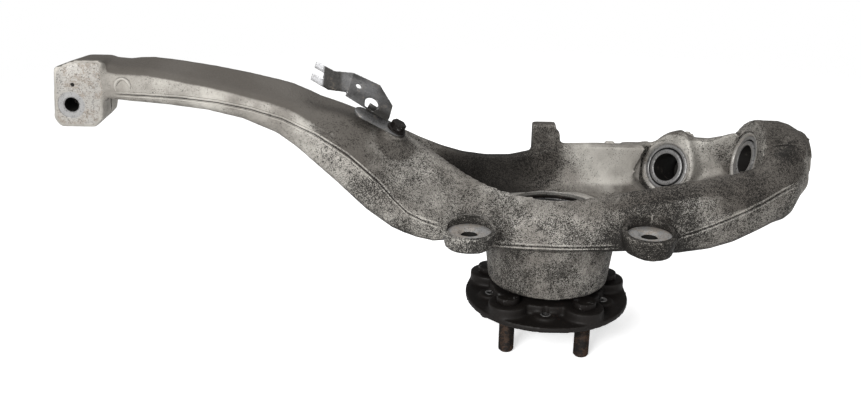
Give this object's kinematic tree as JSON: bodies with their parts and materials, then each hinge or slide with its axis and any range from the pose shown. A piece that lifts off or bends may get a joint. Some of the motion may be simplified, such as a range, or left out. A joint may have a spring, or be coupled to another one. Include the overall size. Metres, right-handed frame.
{
  "type": "steering_knuckle",
  "caption": "Cast aluminium steering knuckle with tall upper arm, open dish with two bushes, line bracket and wheel hub with studs",
  "frame": {"origin": "centre of the hub flange's wheel face, on the hub axis", "axes": "+Z along the hub axis towards the middle of the car, +X towards the lower end, -X along the tall upper arm, -Y to the side with the caliper ears"},
  "size_m": [0.6606, 0.2087, 0.2565],
  "materials": {
    "cast": "as cast, grey with dark speckle and dirt",
    "hub": "near-black oxide with brown rust",
    "stud": "dark rusty thread",
    "race": "ground bearing steel",
    "cage": "moulded cage",
    "seal": "dull black rubber",
    "spring": "phosphated spring steel",
    "shell": "turned steel, dulled",
    "zinc": "bright zinc plate with dirt"
  },
  "bodies": {
    "knuckle": {"knuckle_casting": "cast", "bearing_outer_ring": "race", "bearing_circlip": "spring", "inboard_seal": "seal", "outboard_seal": "seal", "side_bush_shell": "shell", "side_bush_rubber": "seal", "side_bush_sleeve": "shell", "end_bush_shell": "shell", "end_bush_rubber": "seal", "end_bush_sleeve": "shell", "line_bracket": "zinc", "bracket_bolt": "zinc"},
    "hub": {"wheel_hub": "hub", "wheel_studs": "stud", "bearing_outboard_cone": "race", "bearing_inboard_cone": "race"},
    "outboard_row": {"outboard_rollers": "race", "outboard_cage": "cage"},
    "inboard_row": {"inboard_rollers": "race", "inboard_cage": "cage"}
  },
  "joints": [
    {"name": "hub_spin", "type": "hinge", "parent": "knuckle", "child": "hub", "pos_m": [0, 0, 0.06], "axis": [0, 0, 1], "continuous": true},
    {"name": "outboard_row_spin", "type": "hinge", "parent": "knuckle", "child": "outboard_row", "pos_m": [0, 0, 0.049], "axis": [0, 0, 1], "continuous": true},
    {"name": "inboard_row_spin", "type": "hinge", "parent": "knuckle", "child": "inboard_row", "pos_m": [0, 0, 0.072], "axis": [0, 0, 1], "continuous": true}
  ],
  "couplings": [
    {"joint": "outboard_row_spin", "follows": "hub_spin", "ratio": 0.449},
    {"joint": "inboard_row_spin", "follows": "hub_spin", "ratio": 0.449}
  ]
}
